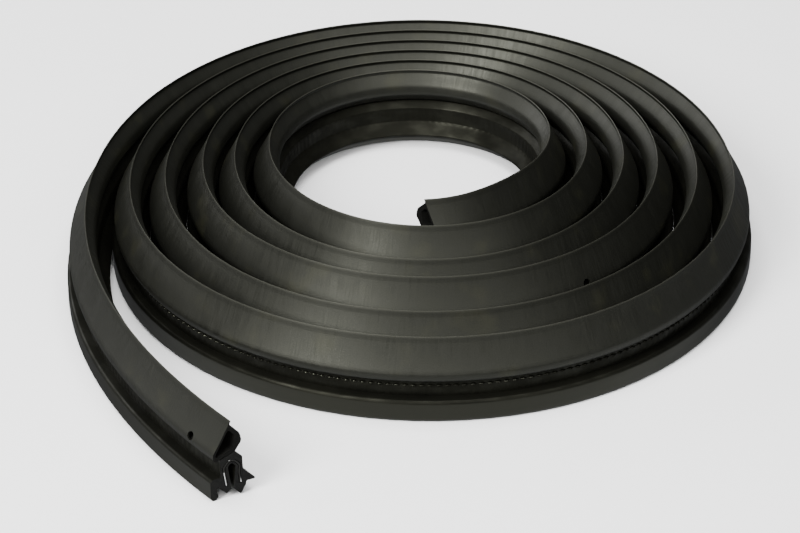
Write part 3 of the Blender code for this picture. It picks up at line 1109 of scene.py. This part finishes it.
@dataclass(frozen=True)
class DenseCut:
    """Cut dense rubber: satin grey-black with the fine drag marks of the knife."""

    name: str = "dense_rubber_cut"
    dark: tuple[float, float, float] = (0.0015, 0.0015, 0.0013)
    light: tuple[float, float, float] = (0.0060, 0.0060, 0.0050)
    gloss: float = 0.10
    mark: float = 0.6 * MM
    mark_span: tuple[float, float] = (0.35, 0.7)
    depth: float = 0.08 * MM
    roughness: float = 0.50

    def material(self) -> bpy.types.Material:
        """Build the material.

        Returns:
            The new material.
        """
        graph = Paint(self.name)
        marks = graph.space_noise(self.mark, 4.0)
        colour = graph.mixed(graph.spread(marks, self.mark_span, (0.0, 1.0)), self.dark, self.light)
        sockets = {"Normal": graph.bump(marks, self.depth), "Specular_IOR_Level": self.gloss}
        return graph.finish(Base_Color=colour, Roughness=self.roughness, **sockets)


@dataclass(frozen=True)
class SteelFinish:
    """Steel of the carrier: bare and bright where the knife scraped it, smeared with rubber elsewhere."""

    name: str = "carrier_steel_sheet"
    smeared: tuple[float, float, float] = (0.008, 0.008, 0.007)
    gloss: float = 0.12
    bright: tuple[float, float, float] = (0.86, 0.86, 0.84)
    attribute: str = "bare"
    scratch: float = 0.5 * MM
    scratch_share: float = 0.5
    edge: tuple[float, float] = (0.55, 0.85)
    rough: tuple[float, float] = (0.60, 0.30)

    def material(self) -> bpy.types.Material:
        """Build the material; steel shows where the bare share plus some noise is high enough.

        Returns:
            The new material.
        """
        graph = Paint(self.name)
        share = graph.add("Attribute", {}, attribute_name=self.attribute).outputs["Fac"]
        patchy = graph.maths("MULTIPLY_ADD", graph.space_noise(self.scratch, 3.0), self.scratch_share, share)
        bare = graph.spread(patchy, self.edge, (0.0, 1.0))
        colour = graph.mixed(bare, self.smeared, self.bright)
        rough = graph.spread(bare, (0.0, 1.0), self.rough)
        return graph.finish(Base_Color=colour, Roughness=rough, Metallic=bare, Specular_IOR_Level=self.gloss)


@dataclass(frozen=True)
class PaleFloor:
    """Large plain floor of the studio."""

    size: float = 8.0
    drop: float = 0.05 * MM
    colour: tuple[float, float, float] = (0.86, 0.86, 0.86)
    # Darker tone of the floor's random patches; the same name holds the sponge's painted ridge highlight.
    wear_and_highlight: tuple[float, float, float] = (0.83, 0.83, 0.83)
    patch: float = 0.4
    roughness: float = 0.9

    def build(self) -> bpy.types.Object:
        """Make the floor just under the strip, unseen in glossy reflections.

        Returns:
            The floor.
        """
        reach = self.size / 2
        corners = [(-reach, -reach), (reach, -reach), (reach, reach), (-reach, reach)]
        mesh = bpy.data.meshes.new("studio_floor")
        mesh.from_pydata([(x, y, -self.drop) for x, y in corners], [], [(0, 1, 2, 3)])
        graph = Paint("studio_floor_paint")
        colour = graph.mixed(graph.space_noise(self.patch, 2.0), self.wear_and_highlight, self.colour)
        mesh.materials.append(graph.finish(Base_Color=colour, Roughness=self.roughness))
        floor = bpy.data.objects.new("studio_floor", mesh)
        bpy.context.scene.collection.objects.link(floor)
        floor.visible_glossy = False
        return floor


def seen_from(azimuth: float, elevation: float) -> Vector:
    """Unit vector away from the coil.

    Its parts are the sine of the azimuth, minus its cosine, both times the cosine of the elevation, and
    the sine of the elevation.

    Args:
        azimuth: Degrees to the right of the camera's side.
        elevation: Degrees above the floor.

    Returns:
        The unit vector.
    """
    across, up = radians(azimuth), radians(elevation)
    return Vector((sin(across) * cos(up), -cos(across) * cos(up), sin(up)))


def look_back(name: str, data: bpy.types.ID, aim: tuple, away: Vector, distance: float) -> bpy.types.Object:
    """Stand a light or the camera away from its aim and turn it back to look at it.

    Args:
        name: Name of the new object.
        data: Data of the light or the camera.
        aim: Point that it looks at.
        away: Unit vector from the aim to it.
        distance: Length of that way.

    Returns:
        The new object, linked to the scene.
    """
    turned = away.to_track_quat("Z", "Y").to_matrix().to_4x4()
    item = bpy.data.objects.new(name, data)
    item.matrix_world = Matrix.Translation(Vector(aim) + away * distance) @ turned
    bpy.context.scene.collection.objects.link(item)
    return item


@dataclass(frozen=True)
class SoftBox:
    """Rectangular studio light aimed at the coil, placed by azimuth, elevation and distance."""

    name: str
    azimuth: float
    elevation: float
    distance: float
    width: float
    height: float
    power: float
    aim: tuple[float, float, float] = (0.0, 0.0, 0.0)

    def build(self) -> None:
        """Make the light and aim it."""
        data = bpy.data.lights.new(self.name, "AREA")
        data.shape = "RECTANGLE"
        data.size, data.size_y = self.width, self.height
        data.energy = self.power
        look_back(self.name, data, self.aim, seen_from(self.azimuth, self.elevation), self.distance)


@dataclass(frozen=True)
class Surroundings:
    """Dim studio round the coil, with the glow of a lit table low in front of it."""

    colour: tuple[float, float, float] = (0.95, 0.97, 1.0)
    strength: float = 0.17
    glow: float = 1.35
    glow_azimuth: float = 0.0
    glow_edge: tuple[float, float] = (-0.6, 0.2)
    horizon: tuple[float, float] = (0.02, -0.25)

    def build(self) -> None:
        """Make the world; the glow is a smooth step of the downward share times one of the azimuth."""
        world = bpy.data.worlds.new("dim_studio")
        world.use_nodes = True
        graph = Graph(world.node_tree)
        way = graph.add("TexCoord", {}).outputs["Generated"]
        rise = graph.add("SeparateXYZ", {"Vector": way}).outputs["Z"]
        turn = radians(self.glow_azimuth)
        towards = {0: way, 1: (sin(turn), -cos(turn), 0.0)}
        facing = graph.add("VectorMath", towards, operation="DOT_PRODUCT").outputs["Value"]
        low = graph.spread(rise, self.horizon, (0.0, 1.0))
        side = graph.spread(facing, self.glow_edge, (0.0, self.glow))
        total = graph.maths("ADD", graph.maths("MULTIPLY", low, side), self.strength)
        background = world.node_tree.nodes["Background"]
        graph.feed(background, {"Color": (*self.colour, 1.0), "Strength": total})
        bpy.context.scene.world = world


@dataclass(frozen=True)
class Studio:
    """Camera at the photograph's angle, lights, dim surroundings and floor."""

    aim: tuple[float, float, float] = (-4.73 * MM, 2.19 * MM, 0.0)
    distance: float = 1.5
    elevation: float = 30.5
    lens: float = 162.0
    sensor: float = 36.0
    lights: tuple[SoftBox, ...] = (
        SoftBox("key_softbox", -43.0, 39.0, 1.9, 0.75, 0.9, 74.0),
        SoftBox("front_softbox", 19.0, 41.0, 2.2, 2.4, 1.0, 39.0),
        SoftBox("left_softbox", -118.0, 22.0, 2.2, 2.6, 1.1, 33.0),
        SoftBox("top_softbox", 0.0, 90.0, 2.6, 2.2, 2.2, 120.0),
    )

    def build(self) -> None:
        """Make the camera, the lights, the world and the floor."""
        data = bpy.data.cameras.new("photo_camera")
        data.lens, data.sensor_width = self.lens, self.sensor
        away = seen_from(0.0, self.elevation)
        bpy.context.scene.camera = look_back("photo_camera", data, self.aim, away, self.distance)
        for light in self.lights:
            light.build()
        Surroundings().build()
        PaleFloor().build()


def settle(piece: bpy.types.Object, slot: Slot, node: str | None = None) -> None:
    """Put a finished piece on the part's body, hide the node that it stands for and log its slot.

    Args:
        piece: The finished object.
        slot: Material slot of the record.
        node: Node that the piece stands for, if it does.
    """
    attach(piece, "root")
    if node is not None:
        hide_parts(node)
    log.info("%s: %d faces in slot %s", piece.name, len(piece.data.polygons), slot.value)


@dataclass
class Bulb:
    """Hollow sponge bulb with its vent holes."""

    strip: Strip
    stations: Stations
    vent_diameter: float = 3.5 * MM
    vent_rise: float = 4.2 * MM
    vent_from_end: float = 15.2 * MM
    vent_spacing: float = 2.198
    vent_sides: int = 32
    drill_depth: float = 4.0 * MM

    def build(self) -> bpy.types.Object:
        """Make the bulb, drill its vents and dress it.

        Returns:
            The finished bulb.
        """
        section = self.strip.section
        outer = Loop(self.strip.placed(section.bulb_outline(), self.stations))
        inner = Loop(self.strip.placed(section.hollow_outline(), self.stations), hole=True)
        skin, cut = SpongeSkin().material(), SpongeCut().material()
        piece = StripPiece("bulb_skin", [outer, inner], skin, cut).build()
        self.drill(piece)
        settle(piece, Slot.SPONGE, "bulb")
        return piece

    def vent_axes(self) -> list[tuple[Vector, Vector]]:
        """Place and outward direction of each vent, counted from the outer end inwards.

        Returns:
            Pairs of a point on the outer face and a unit vector out of it.
        """
        section = self.strip.section
        named = section.bulb_corners()
        hip = np.array([named["hip"].u, named["hip"].z])
        face = np.array([named["tip"].u, named["tip"].z]) - hip
        spot = hip + face * (self.vent_rise - section.hip_rise) / face[1]
        normal = np.array([-face[1], face[0]]) / np.linalg.norm(face)
        total = self.stations.run[-1]
        count = int((total - 2 * self.vent_from_end) / self.vent_spacing) + 1
        runs = total - self.vent_from_end - np.arange(count) * self.vent_spacing
        here = self.stations.at(runs)
        places = self.strip.placed(spot[None, :], here)[:, 0]
        inward = np.stack([-here.ways[:, 1], here.ways[:, 0]], axis=1)
        return [
            (Vector(place), Vector((*(normal[0] * way), normal[1]))) for place, way in zip(places, inward)
        ]

    def drill(self, piece: bpy.types.Object) -> None:
        """Cut the vents through the outer skin and keep the result as the piece's own mesh.

        Args:
            piece: The bulb.
        """
        cutters = []
        for number, (place, outward) in enumerate(self.vent_axes()):
            build = bmesh.new()
            turned = outward.to_track_quat("Z", "Y").to_matrix().to_4x4()
            bmesh.ops.create_cone(
                build,
                cap_ends=True,
                segments=self.vent_sides,
                radius1=self.vent_diameter / 2,
                radius2=self.vent_diameter / 2,
                depth=self.drill_depth,
                matrix=Matrix.Translation(place) @ turned,
            )
            mesh = bpy.data.meshes.new(f"vent_cutter_{number + 1}")
            build.to_mesh(mesh)
            build.free()
            cutter = bpy.data.objects.new(mesh.name, mesh)
            bpy.context.scene.collection.objects.link(cutter)
            cut = piece.modifiers.new(f"vent_{number + 1}", "BOOLEAN")
            cut.operation, cut.solver, cut.object = "DIFFERENCE", "EXACT", cutter
            cutters.append(cutter)
        bpy.context.view_layer.update()
        cut_piece = piece.evaluated_get(bpy.context.evaluated_depsgraph_get())
        drilled = bpy.data.meshes.new_from_object(cut_piece)
        piece.modifiers.clear()
        piece.data = drilled
        drilled.name = piece.name
        for cutter in cutters:
            bpy.data.objects.remove(cutter, do_unlink=True)


@dataclass
class Channel:
    """Dense rubber channel with its flap, lip and legs, and the row of beads under the bulb."""

    strip: Strip
    stations: Stations
    lip_wave: float = 0.22 * MM
    lip_wave_lengths: tuple[float, ...] = (47.0 * MM, 29.0 * MM, 13.0 * MM)
    bead_pitch: float = 3.2 * MM
    bead_steps: int = 6
    bead_sides: int = 8
    bead_z: float = 14.7 * MM
    bead_height: float = 0.50 * MM
    bead_depth: float = 0.90 * MM
    bead_waist: float = 0.12
    bead_free_start: float = 6.4 * MM
    bead_free_end: float = 190.0 * MM
    bead_finish: DenseSkin = DenseSkin(
        name="dense_rubber_bead", wall_gloss=(0.02, 0.24), mottle=38.0 * MM, rough=(0.18, 0.26)
    )

    def build(self) -> list[bpy.types.Object]:
        """Make and dress the channel and its beads.

        Returns:
            The channel and the row of beads.
        """
        section = self.strip.section
        outline = section.channel_outline()
        rings = self.strip.placed(outline, self.stations)
        rings[..., 2] += self.wave(outline)
        slot = Loop(self.strip.placed(section.strip_outline(section.clearance), self.stations), hole=True)
        skin, cut = DenseSkin().material(), DenseCut().material()
        body = StripPiece("channel_skin", [Loop(rings), slot], skin, cut).build()
        settle(body, Slot.DENSE, "channel")
        finish = self.bead_finish.material()
        beads = StripPiece("channel_beads", [Loop(self.bead_rings())], finish, cut).build()
        settle(beads, Slot.DENSE)
        return [body, beads]

    def wave(self, outline: np.ndarray) -> np.ndarray:
        """Rise and fall of the lip's tip, for stations by points.

        It is the mean of one sine of the run for each wave length, times the wave's height, times a
        smooth step of u from the channel's wall to the lip's tip.

        Args:
            outline: Points by u and z.

        Returns:
            The rise of each point at each station.
        """
        section = self.strip.section
        reach = eased((outline[:, 0] - section.in_leg_heel_u) / (section.lip_reach - section.in_leg_heel_u))
        waves = [np.sin(2 * pi * self.stations.run / length) for length in self.lip_wave_lengths]
        return self.lip_wave * np.mean(waves, axis=0)[:, None] * reach[None, :]

    def bead_rings(self) -> np.ndarray:
        """Rings of the row of beads on the outer wall.

        The section is an ellipse on the wall. Its half axes follow a waist plus the rest of the sine of
        the run over twice the pitch, squared, so each pitch is one bead.

        Returns:
            Rings as stations by points by x, y and z.
        """
        section = self.strip.section
        length = self.stations.run[-1] - self.bead_free_start - self.bead_free_end
        steps = int(length / self.bead_pitch) * self.bead_steps
        run = self.bead_free_start + np.arange(steps + 1) * (self.bead_pitch / self.bead_steps)
        here = self.stations.at(run)
        swell = self.bead_waist + (1 - self.bead_waist) * np.sin(pi * run / self.bead_pitch) ** 2
        angle = 2 * pi * np.arange(self.bead_sides) / self.bead_sides
        centre = np.array([[-section.channel_out_reach, self.bead_z]])
        rings = self.strip.placed(np.repeat(centre, self.bead_sides, axis=0), here)
        inward = np.stack([-here.ways[:, 1], here.ways[:, 0]], axis=1)
        aside = self.bead_depth * swell[:, None] * np.sin(angle)
        rings[..., :2] += aside[..., None] * inward[:, None]
        rings[..., 2] += self.bead_height * swell[:, None] * np.cos(angle)
        return rings


@dataclass(frozen=True)
class BarePatch:
    """Stretch of the steel's cut that the knife scraped bare: its side, middle height, reach and share."""

    side: Side
    z: float
    reach: float
    share: float


@dataclass
class Carrier:
    """Steel carrier, which shows at the two cut ends."""

    strip: Strip
    stations: Stations
    patches: tuple[BarePatch, ...] = (
        BarePatch(Side.OUTER, 7.9 * MM, 4.0 * MM, 0.75),
        BarePatch(Side.OUTER, 16.6 * MM, 0.8 * MM, 0.5),
        BarePatch(Side.INNER, 6.4 * MM, 1.4 * MM, 0.8),
    )

    def build(self) -> bpy.types.Object:
        """Make and dress the carrier.

        Returns:
            The finished carrier.
        """
        outline = self.strip.section.strip_outline(0.0)
        finish = SteelFinish()
        steel = finish.material()
        loop = Loop(self.strip.placed(outline, self.stations))
        piece = StripPiece("carrier_steel_strip", [loop], steel, steel).build()
        bare = piece.data.attributes.new(finish.attribute, "FLOAT", "POINT")
        bare.data.foreach_set("value", np.tile(self.bare_share(outline), len(self.stations.run)))
        settle(piece, Slot.STEEL, "carrier")
        return piece

    def bare_share(self, outline: np.ndarray) -> np.ndarray:
        """How bare each point of the outline is.

        A smooth hill rises round each patch's height, the highest one counts, and the flank of the steel
        that faces the cavity stays smeared.

        Args:
            outline: Points by u and z.

        Returns:
            The bare share of each point, from 0 to 1.
        """
        middle = self.strip.section.cavity_centre
        hills = [
            patch.share
            * eased(2 - 2 * np.abs(outline[:, 1] - patch.z) / patch.reach)
            * ((outline[:, 0] - middle) * patch.side.value > 0)
            for patch in self.patches
        ]
        flank = np.arange(len(outline)) < len(outline) // 2
        return np.max(hills, axis=0) * flank


@dataclass
class DoorSeal:
    """The whole strip, built from the inside out, with its stations in each turn and in the tail."""

    strip: Strip = field(default_factory=Strip)
    per_turn: int = 106
    in_tail: int = 40

    def build(self) -> None:
        """Build the carrier, the channel and the bulb."""
        stations = self.strip.route.stations(self.per_turn, self.in_tail)
        log.info("strip: %d stations over %.3f m", len(stations.run), stations.run[-1])
        Carrier(self.strip, stations).build()
        Channel(self.strip, stations).build()
        Bulb(self.strip, stations).build()


def main() -> None:
    """Build the studio and the seal."""
    logging.basicConfig(level=logging.INFO, format="%(name)s: %(message)s")
    Studio().build()
    DoorSeal().build()


if __name__ == "__main__":
    main()
